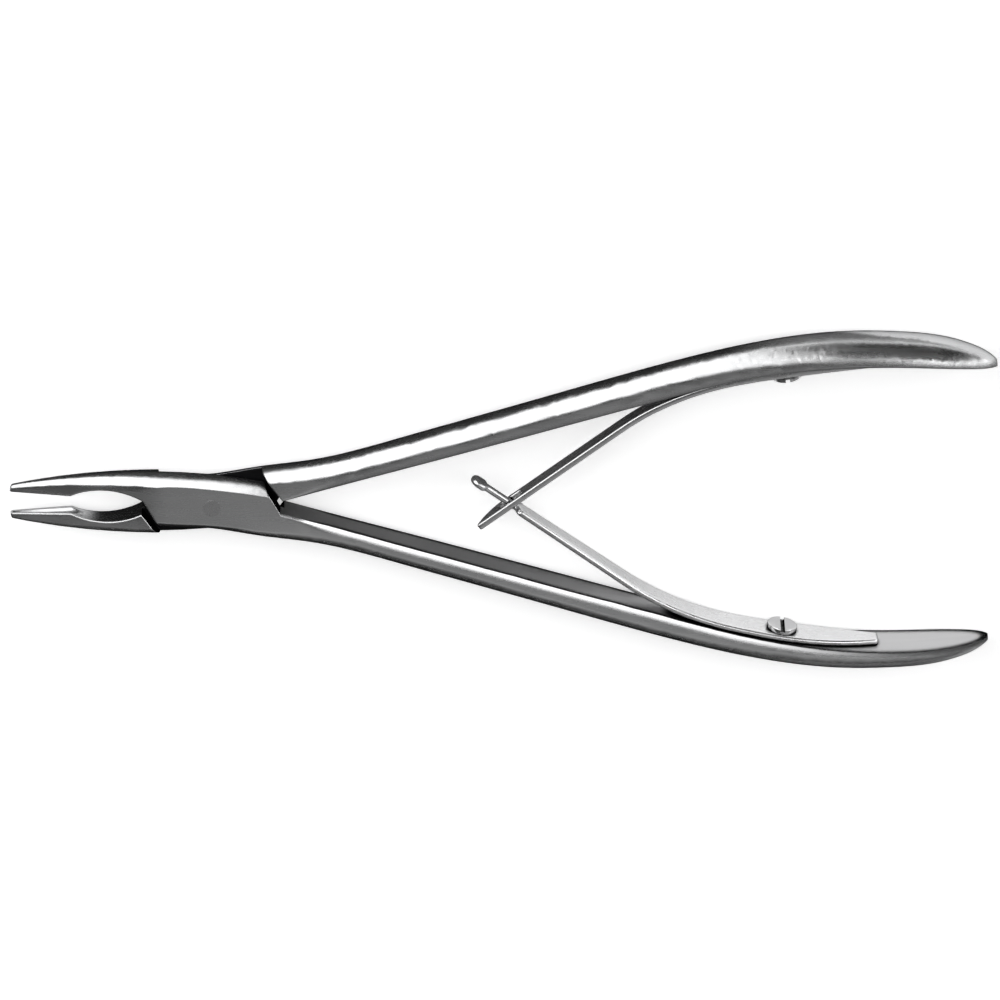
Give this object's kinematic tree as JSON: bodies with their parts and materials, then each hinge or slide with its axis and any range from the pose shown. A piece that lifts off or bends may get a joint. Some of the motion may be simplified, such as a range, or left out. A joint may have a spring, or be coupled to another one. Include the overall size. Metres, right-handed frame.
{
  "type": "bone rongeur",
  "caption": "Straight single-action bone rongeur in polished steel, with cupped jaws, a flush lap joint and two interlocking leaf springs between the handles.",
  "frame": {"origin": "the rivet's axis at the flat underside of the joint", "axes": "+Z along the rivet's axis, up from the side the instrument lies on; -X towards the jaws' tips; +Y from the lower handle to the upper handle"},
  "size_m": [0.1393, 0.0524, 0.0078],
  "materials": {
    "lever_steel": "polished",
    "joint_steel": "satin",
    "spring_steel": "satin",
    "screw_steel": "satin"
  },
  "bodies": {
    "upper_jaw_side": {"upper_jaw_lever": "lever_steel", "pivot_rivet": "joint_steel", "lower_leaf_spring": "spring_steel", "lower_spring_screw": "screw_steel"},
    "lower_jaw_side": {"lower_jaw_lever": "lever_steel", "upper_leaf_spring": "spring_steel", "upper_spring_screw": "screw_steel"}
  },
  "joints": [
    {"name": "pivot", "type": "hinge", "parent": "upper_jaw_side", "child": "lower_jaw_side", "pos_m": [0, 0, 0.0025], "axis": [0, 0, 1], "range_deg": [-6.7, 4.5], "stiffness_Nm_per_rad": 5, "deforming": ["lower_leaf_spring", "upper_leaf_spring"]}
  ]
}
